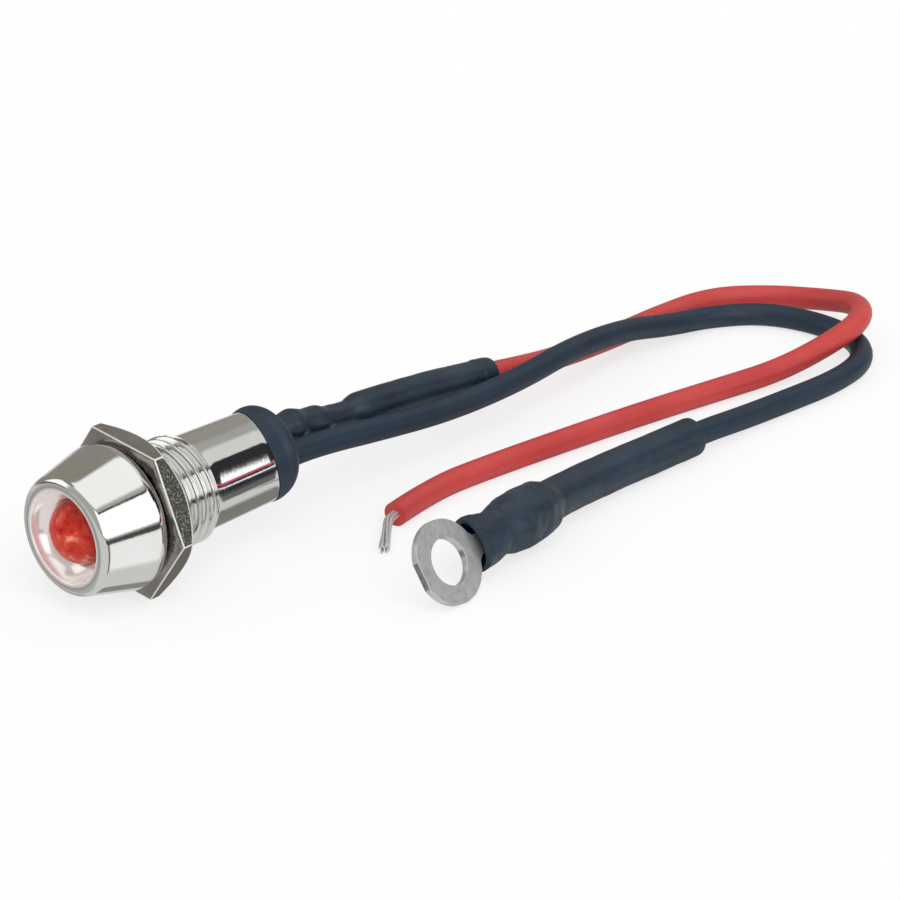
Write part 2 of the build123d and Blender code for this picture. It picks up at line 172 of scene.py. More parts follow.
class Paint(Nodes):
    """A material with one Principled shader."""

    def __init__(self, name, color, roughness, metallic=0.0, **sockets):
        self.mat = bpy.data.materials.new(name)
        self.mat.use_nodes = True
        self.mat.diffuse_color = (*color, 1)
        super().__init__(self.mat.node_tree)
        self.bsdf = self.new("BsdfPrincipled")
        self.link(self.bsdf.outputs[0], self.new("OutputMaterial").inputs[0])
        self.feed(self.bsdf.inputs["Base Color"], color)
        self.feed(self.bsdf.inputs["Roughness"], roughness)
        self.feed(self.bsdf.inputs["Metallic"], metallic)
        for key, value in sockets.items():
            self.feed(self.bsdf.inputs[key.replace("_", " ")], value)
        self.here = self.new("TexCoord").outputs["Object"]

    def place(self, scale):
        """Object coordinates, scaled."""
        node = self.new("Mapping")
        node.inputs["Scale"].default_value = scale
        self.link(self.here, node.inputs[0])
        return node.outputs[0]

    def noise(self, scale, detail=3, rough=0.55, vector=None, distortion=0.0):
        node = self.new("TexNoise")
        node.inputs["Scale"].default_value = scale
        node.inputs["Detail"].default_value = detail
        node.inputs["Roughness"].default_value = rough
        node.inputs["Distortion"].default_value = distortion
        self.link(vector or self.here, node.inputs["Vector"])
        return node.outputs[0]

    def ramp(self, value, *stops):
        """Colours along the value; each stop is a position and its colour."""
        node = self.new("ValToRGB")
        while len(node.color_ramp.elements) < len(stops):
            node.color_ramp.elements.new(0.5)
        for element, (at, color) in zip(node.color_ramp.elements, stops):
            element.position = at
            element.color = (*color, 1)
        self.link(value, node.inputs[0])
        return node.outputs[0]

    def facing(self, way):
        """1 where the face looks along the way, 0 where it is square to it."""
        node = self.new("VectorMath")
        node.operation = "DOT_PRODUCT"
        node.inputs[1].default_value = way
        self.link(self.new("NewGeometry").outputs["True Normal"], node.inputs[0])
        return node.outputs["Value"]

    def bump(self, height, depth, after=None):
        """A bump as deep as depth, in mm, on top of the bump after which it comes."""
        node = self.new("Bump")
        node.inputs["Strength"].default_value = 1.0
        node.inputs["Distance"].default_value = depth * MM
        self.link(height, node.inputs["Height"])
        self.feed(node.inputs["Normal"], after)
        return node.outputs[0]

    def set(self, socket, value):
        self.link(value, self.bsdf.inputs[socket])


# ------------------------------------------------------------------ mesh helpers
def piece(name, mesh, node, material=None):
    """A visible piece of the lamp, in place of one node of the CAD."""
    obj = add(name, mesh)
    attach(obj, "root")
    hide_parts(node)
    if material:
        mesh.materials.clear()
        mesh.materials.append(material)
    return obj


def mesh_from(name, verts, faces, smooth=True):
    mesh = bpy.data.meshes.new(name)
    mesh.from_pydata([tuple(v) for v in verts], [], faces)
    mesh.validate()
    for poly in mesh.polygons:
        poly.use_smooth = smooth
    return mesh


def net(rows, count, loop=False, base=0):
    """Faces through rows of count points each; the ends are closed, or joined in a loop."""
    faces = []
    for i in range(rows if loop else rows - 1):
        a, b = base + i * count, base + ((i + 1) % rows) * count
        for j in range(count):
            k = (j + 1) % count
            faces.append((a + j, a + k, b + k, b + j))
    if not loop:
        last = base + (rows - 1) * count
        faces.append(tuple(base + j for j in range(count - 1, -1, -1)))
        faces.append(tuple(last + j for j in range(count)))
    return faces


def skin(name, rings, loop=False):
    """A mesh through closed rings of points, all with as many points."""
    return mesh_from(name, [p for ring in rings for p in ring], net(len(rings), len(rings[0]), loop))


def crease(mesh, angle=35):
    """Sharp edges where faces meet at more than the angle."""
    bm = bmesh.new()
    bm.from_mesh(mesh)
    bmesh.ops.recalc_face_normals(bm, faces=bm.faces)
    for edge in bm.edges:
        if len(edge.link_faces) == 2:
            edge.smooth = edge.calc_face_angle(0) < math.radians(angle)
    bm.to_mesh(mesh)
    bm.free()
    return mesh


def lathe_rings(profile, segments, shift=None):
    """A ring for each point (x, r) of the profile; shift gives the radius that it has at an angle."""
    rings = []
    for x, r in profile:
        ring = []
        for j in range(segments):
            t = 2 * math.pi * j / segments
            rr = shift(x, r, t) if shift else r
            ring.append(V((x, rr * math.cos(t), rr * math.sin(t))) * MM)
        rings.append(ring)
    return rings


def baked(obj):
    """The object's mesh with its modifiers in it."""
    bpy.context.view_layer.update()
    return bpy.data.meshes.new_from_object(obj.evaluated_get(bpy.context.evaluated_depsgraph_get()))


def boolean(base, tool, kind):
    a, b = add("a", base), add("b", tool)
    mod = a.modifiers.new("b", "BOOLEAN")
    mod.operation = kind
    mod.object = b
    mod.solver = "EXACT"
    mesh = baked(a)
    for obj in (a, b):
        bpy.data.objects.remove(obj)
    return mesh


def bevelled(mesh, width, angle, slot=-1):
    """The mesh with the edges that are sharper than the angle broken by the width, in mm."""
    bm = bmesh.new()
    bm.from_mesh(mesh)
    # points closer than this would fold the bevel
    bmesh.ops.remove_doubles(bm, verts=bm.verts, dist=0.03 * MM)
    bm.to_mesh(mesh)
    bm.free()
    a = add("a", mesh)
    mod = a.modifiers.new("b", "BEVEL")
    mod.width = width * MM
    mod.segments = 2
    mod.limit_method = "ANGLE"
    mod.angle_limit = math.radians(angle)
    mod.miter_outer = "MITER_ARC"
    mod.use_clamp_overlap = False
    mod.material = slot
    out = baked(a)
    bpy.data.objects.remove(a)
    return out


def weigh_normals(obj):
    obj.modifiers.new("normals", "WEIGHTED_NORMAL").keep_sharp = True


def smooth_sizes(stations, x):
    """A monotone cubic through stations (x, size, ...)."""
    xs = [s[0] for s in stations]
    if x <= xs[0]:
        return stations[0][1:]
    if x >= xs[-1]:
        return stations[-1][1:]
    i = max(k for k in range(len(xs)) if xs[k] <= x)
    i = min(i, len(xs) - 2)
    h = xs[i + 1] - xs[i]
    t = (x - xs[i]) / h
    out = []
    for c in range(1, len(stations[0])):
        y = [s[c] for s in stations]
        d = [(y[k + 1] - y[k]) / (xs[k + 1] - xs[k]) for k in range(len(xs) - 1)]

        def slope(k):
            if k == 0 or k == len(xs) - 1:
                return 0.0
            if d[k - 1] * d[k] <= 0:
                return 0.0
            return 2 * d[k - 1] * d[k] / (d[k - 1] + d[k])

        m0, m1 = slope(i), slope(i + 1)
        t2, t3 = t * t, t * t * t
        out.append((2 * t3 - 3 * t2 + 1) * y[i] + (t3 - 2 * t2 + t) * h * m0
                   + (3 * t2 - 2 * t3) * y[i + 1] + (t3 - t2) * h * m1)
    return tuple(out)


# ------------------------------------------------------------------ cords
def route(name, points, bevel=0.0):
    """A smooth curve with the route's points, in mm, as its control points."""
    curve = bpy.data.curves.new(name, "CURVE")
    curve.dimensions = "3D"
    spline = curve.splines.new("NURBS")
    spline.points.add(len(points) - 1)
    for slot, point in zip(spline.points, points):
        slot.co = (*(V(point) * MM), 1)
    spline.order_u = 3
    spline.use_endpoint_u = True
    spline.resolution_u = 16
    curve.resolution_u = 16
    curve.bevel_depth = bevel * MM
    curve.bevel_resolution = 8
    curve.use_fill_caps = bevel > 0
    return curve


def curve_mesh(name, curve):
    """The curve as a mesh; the curve itself is removed."""
    obj = add(name, curve)
    bpy.context.view_layer.update()
    mesh = bpy.data.meshes.new_from_object(obj)
    bpy.data.objects.remove(obj)
    bpy.data.curves.remove(curve)
    return mesh


def centreline(name, points):
    """Points along the route's own spline, in mm."""
    mesh = curve_mesh(name, route(name, points))
    line = [v.co / MM for v in mesh.vertices]
    bpy.data.meshes.remove(mesh)
    return line


def measure(line):
    """The length up to each point of the line."""
    total = [0.0]
    for a, b in zip(line, line[1:]):
        total.append(total[-1] + (b - a).length)
    return total


def along(line, total, s):
    """Position and direction at length s."""
    s = min(max(s, 0.0), total[-1])
    i = 0
    while i < len(line) - 2 and total[i + 1] < s:
        i += 1
    t = (s - total[i]) / max(total[i + 1] - total[i], 1e-9)
    j0, j1 = max(i - 1, 0), min(i + 2, len(line) - 1)
    d0 = (line[i + 1] - line[j0]).normalized()
    d1 = (line[j1] - line[i]).normalized()
    return line[i].lerp(line[i + 1], t), d0.lerp(d1, t).normalized()


def length_at_x(line, total, x):
    for i in range(len(line) - 1):
        a, b = line[i].x, line[i + 1].x
        if (a - x) * (b - x) <= 0 and a != b:
            return total[i] + (total[i + 1] - total[i]) * (x - a) / (b - a)
    return 0.0 if abs(line[0].x - x) < abs(line[-1].x - x) else total[-1]


wire_d = 1.83
red_points = [
    (36.0, 1.47, -1.76), (41.0, 1.52, -2.66), (47.5, 1.9, -3.7), (54.5, 2.6, -4.4), (61.5, 3.4, -4.84),
    (67.3, 2.9, -4.84), (71.0, -0.3, -4.84), (72.6, -4.8, -4.4), (71.5, -9.2, -3.2), (68.1, -12.0, -2.85),
    (63.6, -12.2, -3.45), (58.9, -10.9, -4.65), (53.1, -9.5, -4.84), (45.5, -8.15, -4.84),
    (37.5, -7.05, -4.84), (30.5, -6.2, -4.84), (25.0, -5.8, -4.84), (20.0, -6.8, -4.84)]
black_points = [
    (9.0, -1.151, -0.537), (12.5, -1.151, -0.30), (16.2, -1.151, -0.22), (20.0, -1.125, -0.62),
    (23.5, -1.1, -1.15), (31.5, -1.15, -2.1), (39.5, -1.05, -2.2), (46.5, -0.3, -1.98), (53.5, 0.3, -2.7),
    (59.3, 0.75, -4.25), (64.3, 0.3, -4.84), (67.8, -2.4, -4.84), (69.1, -6.7, -4.84),
    (68.6, -11.1, -4.84), (65.6, -14.3, -4.84), (60.8, -15.2, -4.84), (54.5, -14.7, -4.84),
    (49.8, -14.55, -4.64), (45.6, -14.55, -4.25), (40.4, -14.4, -4.22), (34.2, -14.3, -4.08),
    (28.6, -14.95, -3.6)]
# the line inside the joint's sleeve, from the LED's anode to the red wire
anode_points = [
    (9.47, 1.151, 0.537), (13.6, 1.151, 0.50), (17.0, 1.151, 0.64), (19.4, 1.20, 0.08),
    (22.4, 1.291, -0.36), (29.0, 1.401, -0.803), (34.2, 1.451, -1.453), (39.6, 1.501, -2.373)]


# ------------------------------------------------------------------ materials
def chrome():
    """Bright plate: calmer in the bowl round the dome, with the red LED's light painted in there as a warm
    pink, and painted shade between the threads.
    """
    p = Paint("chrome", (0.80, 0.80, 0.785), 0.05, 1.0)
    x, y, z = p.parts(p.here)
    radius = p.math("SQRT", p.plus(p.times(y, y), p.times(z, z)))
    bowl = p.times(p.span(radius, 0.00335, 0.0036, 1.0, 0.0), p.span(x, -0.0039, -0.0038, 1.0, 0.0))
    # painted shade: the plate is darker at the roots of the thread
    thread_root_shade = p.times(p.span(radius, 0.0036, 0.0039, 1.0, 0.0), p.span(radius, 0.00356, 0.0036))
    turned = p.noise(1.0, 2, 0.5, p.place((9000, 260, 260)))
    blotch = p.noise(420, 3, 0.6)
    rough = p.plus(p.span(blotch, 0.35, 0.7, 0.03, 0.09), p.span(turned, 0.3, 0.7, 0.0, 0.04))
    p.set("Roughness", p.plus(rough, p.times(bowl, 0.10)))
    plate = p.ramp(blotch, (0.3, (0.80, 0.80, 0.78)), (0.7, (0.84, 0.84, 0.825)))
    # painted reflection: a warm pink in the bowl stands in for the red LED's light
    plate = p.mix(plate, (1.0, 0.965, 0.94), bowl)
    p.set("Base Color", p.mix(plate, (0.60, 0.59, 0.575), thread_root_shade))
    p.set("Metallic", p.span(bowl, 0.0, 1.0, 1.0, 0.55))
    speck = p.noise(5200, 2, 0.5)
    calm = p.span(bowl, 0.0, 1.0, 1.0, 0.15)
    first = p.bump(p.times(turned, calm), 0.0005)
    p.set("Normal", p.bump(p.times(speck, calm), 0.0013, first))
    return p.mat


def nickel():
    """Duller plate, with pits on the flat that faces the camera and on the front face, where the dark that
    these faces mirror is painted in too; painted shade on the faces that look down.
    """
    p = Paint("nickel", (0.50, 0.46, 0.44), 0.14, 1.0)
    blotch = p.noise(520, 4, 0.6)
    grit = p.noise(5200, 3, 0.6)
    # painted reflection over pits: the flat that faces the camera, and less so the front face, are speckled
    # dark
    pits_and_dark_reflection = p.math("MAXIMUM", p.span(p.facing((0, -0.906, 0.423)), 0.93, 0.98),
                    p.span(p.facing((1, 0, 0)), -0.99, -0.95, 0.4, 0.0))
    # painted shade: the faces that look down are darker and greener
    under = p.span(p.facing((0, 0, 1)), -0.6, -0.3, 1.0, 0.0)
    plate = p.ramp(blotch, (0.3, (0.42, 0.38, 0.365)), (0.7, (0.60, 0.55, 0.53)))
    plate = p.mix(plate, (0.42, 0.425, 0.38), under)
    pit_and_reflection_tone = p.ramp(p.noise(7500, 3, 0.65), (0.42, (0.045, 0.05, 0.038)), (0.58, (0.13, 0.13, 0.11)),
                  (0.72, (0.50, 0.50, 0.46)))
    p.set("Base Color", p.mix(plate, pit_and_reflection_tone, pits_and_dark_reflection))
    p.set("Roughness", p.plus(p.span(grit, 0.3, 0.7, 0.08, 0.18), p.times(pits_and_dark_reflection, 0.12)))
    p.set("Normal", p.bump(grit, 0.004))
    return p.mat


def resin():
    """The LED's clouded red resin, with painted highlights in its pale pink patches and painted shade towards
    the back of the dome, deep in the bowl.
    """
    p = Paint("red_resin", (0.60, 0.016, 0.007), 0.03, IOR=1.53, Transmission_Weight=0.08,
              Specular_IOR_Level=0.22)
    cloud = p.noise(750, 3, 0.55, distortion=0.6)
    # the resin's random cloud runs from dark to pale; its pale pink patches are painted highlights
    cloud_and_highlight_tint = p.ramp(cloud, (0.31, (0.38, 0.010, 0.006)), (0.45, (0.58, 0.036, 0.020)),
                  (0.58, (0.64, 0.070, 0.040)), (0.67, (0.84, 0.30, 0.20)))
    # painted shade: the dome darkens towards the back, deep in the bowl
    foot_shade = p.span(p.parts(p.here)[0], -0.0056, -0.0034, 0.0, 0.45)
    p.set("Base Color", p.mix(cloud_and_highlight_tint, (0.30, 0.008, 0.005), foot_shade))
    p.set("Roughness", p.span(cloud, 0.3, 0.7, 0.02, 0.05))
    p.set("Normal", p.bump(p.noise(1200, 2, 0.5), 0.004))
    return p.mat


def satin(name, low, high, rough, grain=0.004, scale=1500, coarse=160, **sockets):
    """Plastic with patches from low to high; grain is its bump's depth in mm."""
    p = Paint(name, low, rough, **sockets)
    patch = p.noise(coarse, 4, 0.6)
    fine = p.noise(scale, 4, 0.6)
    p.set("Base Color", p.ramp(patch, (0.3, low), (0.7, high)))
    p.set("Roughness", p.span(fine, 0.3, 0.7, rough - 0.06, rough + 0.08))
    p.set("Normal", p.bump(fine, grain))
    return p.mat


def metal(name, low, high, rough, grain=0.003, raw=None, metallic=1.0):
    """Plated metal; the face that points along raw was sheared and shows no plate."""
    p = Paint(name, low, rough, metallic)
    patch = p.noise(380, 4, 0.65)
    fine = p.noise(2500, 4, 0.6)
    plate = p.ramp(patch, (0.3, low), (0.7, high))
    if raw:
        bare = p.ramp(p.noise(3000, 3, 0.6), (0.35, (0.20, 0.20, 0.19)), (0.65, (0.34, 0.34, 0.33)))
        plate = p.mix(plate, bare, p.span(p.facing(raw), 0.985, 0.995))
    p.set("Base Color", plate)
    p.set("Roughness", p.span(fine, 0.3, 0.7, rough - 0.08, rough + 0.1))
    p.set("Normal", p.bump(fine, grain))
    return p.mat


mat_chrome = chrome()
mat_nickel = nickel()
# painted glint: the nut's bevelled edges get a pale, half-metallic plate, so they show as bright lines
mat_edge_glint = metal("nickel_edge_glint", (0.74, 0.73, 0.70), (0.92, 0.91, 0.89), 0.36, 0.002, metallic=0.4)
mat_resin = resin()
mat_cap = satin("cap_plastic", (0.008, 0.019, 0.036), (0.015, 0.032, 0.056), 0.46, Specular_IOR_Level=0.5)
mat_shrink = satin("shrink_sleeve", (0.004, 0.014, 0.028), (0.017, 0.036, 0.062), 0.42, 0.006, 1100, 240,
                   Specular_IOR_Level=0.55)
mat_black = satin("black_pvc", (0.006, 0.018, 0.036), (0.011, 0.028, 0.052), 0.46, 0.003,
                  Specular_IOR_Level=0.5)
mat_red = satin("red_pvc", (0.53, 0.038, 0.038), (0.60, 0.060, 0.056), 0.44, 0.003)
mat_tin = metal("tin_plate", (0.63, 0.64, 0.63), (0.73, 0.74, 0.735), 0.42, 0.0025, metallic=0.8,
                raw=(-0.9943, -0.107, -0.0015))
mat_strand = metal("tinned_strand", (0.66, 0.66, 0.65), (0.80, 0.80, 0.79), 0.30, metallic=0.6)
mat_lead = metal("tinned_lead", (0.62, 0.61, 0.58), (0.74, 0.73, 0.70), 0.25)
mat_solder = metal("solder", (0.55, 0.55, 0.55), (0.70, 0.70, 0.70), 0.3)
mat_die = satin("die", (0.62, 0.40, 0.24), (0.72, 0.48, 0.30), 0.3)
mat_lacquer = satin("resistor_lacquer", (0.50, 0.38, 0.20), (0.58, 0.46, 0.27), 0.4)


# ------------------------------------------------------------------ wires
def wire(name, points, node, material):
    """A wire's insulation as a mesh tube round the route's spline, and the line that it follows."""
    mesh = curve_mesh(name, route(name, points, wire_d / 2))
    mesh.name = name
    for poly in mesh.polygons:
        poly.use_smooth = True
    cord = piece(name, crease(mesh, 50), node, material)
    return cord, [tuple(p * MM) for p in centreline(name, points)]


red_cord, red_line = wire("red_lead", red_points, "red_wire", mat_red)
black_cord, black_line = wire("black_lead", black_points, "black_wire", mat_black)

# stripped end: seven strands laid round each other
strip = centreline("strip", [(23.0, -6.2, -4.84), (20.0, -6.8, -4.84), (19.35, -6.95, -4.85),
                             (18.85, -7.2, -4.9), (18.0, -7.9, -5.05), (16.3, -9.3, -5.34)])
strip_total = measure(strip)
start = length_at_x(strip, strip_total, 20.5)
strand_r, strand_sides, strand_steps = 0.115, 10, 26
lay_r, lay_turn = 0.25, 1.1
verts, faces = [], []
for k in range(7):
    # the first strand is the core that the others lie round, and all end at their own length
    reach = lay_r if k else 0.0
    end = strip_total[-1] + 0.35 * ((k * 3) % 7) / 7
    faces += net(strand_steps + 1, strand_sides, base=len(verts))
    for i in range(strand_steps + 1):
        s = start + (end - start) * i / strand_steps
        p, d = along(strip, strip_total, s)
        if s > strip_total[-1]:
            p = p + d * (s - strip_total[-1])
        side = d.cross(V((0, 0, 1))).normalized()
        over = side.cross(d)
        t = math.radians(60 * k) + lay_turn * (s - start) / (end - start)
        # they fan out towards their ends
        fan = reach * (1 + 0.5 * max(0.0, (s - start) / (end - start) - 0.55))
        c = p + side * (fan * math.cos(t)) + over * (fan * math.sin(t))
        r = strand_r * (0.9 if i == strand_steps else 1)
        for j in range(strand_sides):
            a = 2 * math.pi * j / strand_sides
            verts.append((c + side * (r * math.cos(a)) + over * (r * math.sin(a))) * MM)
strand_piece = piece("strands", crease(mesh_from("strands", verts, faces), 60),
                     "red_strands", mat_strand)

# ------------------------------------------------------------------ housing
thread_r, thread_len, pitch, depth = 4.0, 5.8, 0.75, 0.43
barrel_r, body_len = 3.5, 11.57
barrel_swell, barrel_taper = 0.055, 0.022
lip_x, lip_r = -5.3, 4.25
base_r = lip_r - lip_x * math.tan(math.radians(13.7))
cap_front, cap_askew, cap_overlap = 12.8, 1.23, 0.25


def tangent_round(p0, p1, p2, radius, steps):
    """The corner p1 rounded, as points (x, r)."""
    a = V((p0[0] - p1[0], p0[1] - p1[1])).normalized()
    b = V((p2[0] - p1[0], p2[1] - p1[1])).normalized()
    half = a.angle(b) / 2
    reach = radius / math.tan(half)
    centre = V(p1) + (a + b).normalized() * (radius / math.sin(half))
    start, end = V(p1) + a * reach, V(p1) + b * reach
    a0 = math.atan2(*(start - centre).yx)
    a1 = math.atan2(*(end - centre).yx)
    while a1 - a0 > math.pi:
        a1 -= 2 * math.pi
    while a1 - a0 < -math.pi:
        a1 += 2 * math.pi
    return [(centre.x + radius * math.cos(a0 + (a1 - a0) * i / steps),
             centre.y + radius * math.sin(a0 + (a1 - a0) * i / steps)) for i in range(steps + 1)]


def cap_edge(t):
    """Where the end cap's front edge lies round the barrel: it was pressed on a little askew."""
    # 1 on the side where the edge lies furthest forward
    c = -0.831 * math.cos(t) + 0.556 * math.sin(t)
    return cap_front - cap_askew * c if c > 0 else cap_front + 0.4 * (1 - math.exp(3.075 * c))


# the profile as points (x, r): the inside from the rear, round the lip, and the outside to the rear
bore_r, rear_r, hole_r, bowl_r = 2.5, 3.05, 2.388, 3.35
flange_x, hole_x = 1.83, -4.0
knee = (lip_x + 0.82, 3.12)
profile = [(body_len, rear_r), (6.0, rear_r), (flange_x, rear_r), (flange_x, bore_r), (0.0, bore_r),
           (hole_x + 0.2, bore_r), (hole_x + 0.08, hole_r), (hole_x + 0.02, hole_r)]
profile += tangent_round((hole_x, hole_r), knee, (lip_x, bowl_r), 1.9, 16)
profile += tangent_round(knee, (lip_x, bowl_r), (lip_x, lip_r), 0.1, 4)
profile += tangent_round((lip_x, bowl_r), (lip_x, lip_r), (0, base_r), 0.65, 14)
cone_start = profile[-1]
shoulder = tangent_round((lip_x, lip_r), (0, base_r), (0, thread_r), 0.95, 14)
for i in range(1, 12):
    t = i / 12
    profile.append((cone_start[0] + (shoulder[0][0] - cone_start[0]) * t,
                    cone_start[1] + (shoulder[0][1] - cone_start[1]) * t))
profile += shoulder
profile += [(0, 4.4)]
thread_rows = 132
profile += [(thread_len * i / thread_rows, thread_r) for i in range(thread_rows + 1)]
profile += [(thread_len + 0.02, barrel_r + 0.02), (thread_len + 0.12, barrel_r)]
profile += [(thread_len + 0.12 + (body_len - 0.22 - thread_len) * i / 10, barrel_r) for i in range(1, 10)]
profile += [(body_len - 0.1, barrel_r), (body_len - 0.03, barrel_r - 0.03), (body_len, barrel_r - 0.1)]


def thread(x, r, t):
    """The 60 degree thread, with rounded crests and a run-out at its rear."""
    if not (0 <= x <= thread_len) or r != thread_r:
        return r
    phase = (x / pitch - t / (2 * math.pi)) % 1.0
    tooth = clamp((abs(2 * phase - 1) - 0.08) / 0.78)
    cut = depth * (ease(tooth) * 0.35 + tooth * 0.65)
    end, run_out = thread_len - x, 0.3
    lead = 1.0 if end > run_out else max(0.25, end / run_out)
    return thread_r - max(cut * lead, max(0.0, run_out - end))


segments = 192
stretch_x = 9          # from here on the barrel is stretched to end under the cap's slanted edge
shell = lathe_rings(profile, segments, thread)
for (x, r), ring in zip(profile, shell):
    for j, v in enumerate(ring):
        if x > stretch_x:
            more = cap_edge(2 * math.pi * j / segments) + cap_overlap - body_len
            v.x += more * (x - stretch_x) / (body_len - stretch_x) * MM
        if x > thread_len + 0.01 and r > rear_r:
            # the barrel's outside tapers towards its rear
            taper = 1 + (barrel_swell - barrel_taper * (v.x / MM - thread_len)) / barrel_r
            v.yz = (v.y * taper, v.z * taper)
piece("housing_shell", crease(skin("housing_shell", shell, loop=True), 50), "housing",
      mat_chrome)

# ------------------------------------------------------------------ panel nut
corner_r, nut_len = 11.0 / math.sqrt(3), 2.0
nut_bore, mouth_r, nut_mouth = 4.05, 4.35, 0.3
chamfer_x, face_r = 0.8, 5.0
turns = [math.radians(5 + 60 * k) for k in range(6)]
hexagon = [[V((x, corner_r * math.cos(a), corner_r * math.sin(a))) * MM for a in turns]
           for x in (0.0, nut_len)]
# what the lathe leaves: the bore with its chamfered mouths, and the chamfer at the rear of the corners
turned = [(0, mouth_r), (0, corner_r + 0.5), (chamfer_x, corner_r + 0.5), (chamfer_x, corner_r),
          (nut_len, face_r), (nut_len, mouth_r), (nut_len - nut_mouth, nut_bore), (nut_mouth, nut_bore)]
turned_mesh = crease(skin("turned", lathe_rings(turned, 96), loop=True))
nut_body = boolean(crease(skin("hexagon", hexagon)), turned_mesh, "INTERSECT")
nut_body.materials.clear()
nut_body.materials.append(mat_nickel)
nut_body.materials.append(mat_edge_glint)
for poly in nut_body.polygons:
    poly.material_index = 0
# the bevels take the second material, the painted glint
nut_mesh = bevelled(nut_body, 0.08, 24, slot=1)
for poly in nut_mesh.polygons:
    poly.use_smooth = True
weigh_normals(piece("hex_nut", crease(nut_mesh, 30), "panel_nut"))

# ------------------------------------------------------------------ LED
# a 5 mm LED, 8.6 mm long, with a flange of 1 mm
tip_x, led_r, flange_r, flange_edge = -5.77, 2.45, 2.9, 0.08
base_x = tip_x + 8.6
seat_x = base_x - 1.0
lens = [(tip_x + led_r - led_r * math.cos(math.radians(a)), led_r * math.sin(math.radians(a)))
        for a in range(3, 90, 3)]
lens += [(tip_x + led_r, led_r), (0, led_r), (seat_x - 0.1, led_r), (seat_x, led_r + 0.1),
         (seat_x, flange_r - flange_edge), (seat_x + flange_edge, flange_r),
         (base_x - flange_edge, flange_r), (base_x, flange_r - flange_edge)]


def flat(x, r, t):
    """The flange's flat, on the cathode's side."""
    if r <= led_r + 0.2:
        return r
    c = math.cos(t - math.radians(205))
    return min(r, 2.5 / c) if c > 0.5 else r


piece("lens", crease(skin("lens", lathe_rings(lens, 96, flat)), 40), "led_lens", mat_resin)

# ------------------------------------------------------------------ end cap
collar_x, collar_r, skirt_r = 14.1, 3.61, 3.46
collar_start, collar_rise = 12.65, 0.65
plug_r, plug_len = 3.0, 1.3
cap_sides = 144
plug = [(body_len - plug_len, plug_r - 0.2), (body_len - plug_len + 0.2, plug_r), (body_len, plug_r)]
cap_rings = lathe_rings(plug, cap_sides)
# share of the way from the front edge to the collar, radius, and how far behind the edge
outside = [(0.0, 3.30, 0.3), (0.0, 3.41, 0.02), (0.0, 3.44, 0.0), (0.0, 3.455, 0.05)]
outside += [(i / 14, skirt_r, 0.0) for i in range(1, 15)]
for share, r, more in outside:
    ring = []
    for j in range(cap_sides):
        t = 2 * math.pi * j / cap_sides
        edge = cap_edge(t)
        x = edge + more + (collar_x - 0.75 - edge) * share
        rr = r + barrel_taper * max(0.0, cap_front - x)
        if share:
            rr += (collar_r - skirt_r) * ease(clamp((x - collar_start) / collar_rise))
        ring.append(V((x, rr * math.cos(t), rr * math.sin(t))) * MM)
    cap_rings.append(ring)
back = tangent_round((body_len, collar_r), (collar_x, collar_r), (collar_x, 0), 0.7, 10)
back += [(collar_x, 2.4), (collar_x, 1.4), (collar_x, 0.4)]
cap_rings += lathe_rings(back, cap_sides)
for ring in cap_rings:
    for v in ring:
        # underneath, the collar is nearly flush with the barrel
        under = max(0.0, math.cos(math.atan2(v.z, v.y) - math.radians(234))) ** 2
        x = v.x / MM
        thin = 0.042 * clamp((x - collar_start) / collar_rise) + 0.030 * clamp((x - 13.0) / 0.7)
        v.yz = (v.y * (1 - under * thin), v.z * (1 - under * thin))
cap_mesh = crease(skin("cap", cap_rings), 40)
turns = [2 * math.pi * j / 40 for j in range(40)]
for y, z, r in ((1.151, 0.60, 0.98), (-1.151, -0.262, 0.945)):
    drill = [[V((x, y + r * math.cos(a), z + r * math.sin(a))) * MM for a in turns] for x in (5, 20)]
    cap_mesh = boolean(cap_mesh, crease(skin("drill", drill)), "DIFFERENCE")
for poly in cap_mesh.polygons:
    poly.use_smooth = True
piece("rear_cap", crease(cap_mesh, 40), "end_cap", mat_cap)


# ------------------------------------------------------------------ sleeves
def sleeve(name, line, stations, side, wall, wrinkle, seed=0.0, ring=0.0):
    """A shrunk sleeve with open ends round a centreline.

    Its stations are (x, width, height), wrinkle gives the depth of its creases at x, and a raised
    ring runs round it at x = ring.
    """
    segments, step = 72, 0.1
    total = measure(line)
    x0, x1 = stations[0][0], stations[-1][0]
    count = max(2, int(abs(x1 - x0) / step))
    outer, inner = [], []
    for i in range(count + 1):
        x = x0 + (x1 - x0) * i / count
        p, d = along(line, total, length_at_x(line, total, x))
        if d.x < 0:
            d = -d
        across = (side - d * side.dot(d)).normalized()
        tall = d.cross(across)
        w, h = smooth_sizes(stations, x)
        # the last three steps at each end are rolled in
        end = min(i, count - i) / 3.0
        roll = 0.03 * (1 - min(end, 1.0)) ** 2 - 0.035 * math.exp(-((x - ring) / 0.09) ** 2)
        creased = wrinkle(x)
        ring_o, ring_i = [], []
        for j in range(segments):
            t = 2 * math.pi * j / segments
            c, s = math.cos(t), math.sin(t)
            bump = creased * noise.noise(V((x * 0.7 + seed, c * 1.5, s * 1.5)))
            bump += 0.3 * creased * noise.noise(V((x * 1.9 + seed, c * 3.2, s * 3.2)))
            ring_o.append((p + across * (c * (w / 2 + bump - roll)) + tall * (s * (h / 2 + bump - roll))) * MM)
            ring_i.append((p + across * (c * (w / 2 - wall)) + tall * (s * (h / 2 - wall))) * MM)
        outer.append(ring_o)
        inner.append(ring_i)
    return crease(skin(name, outer + inner[::-1], loop=True), 50)


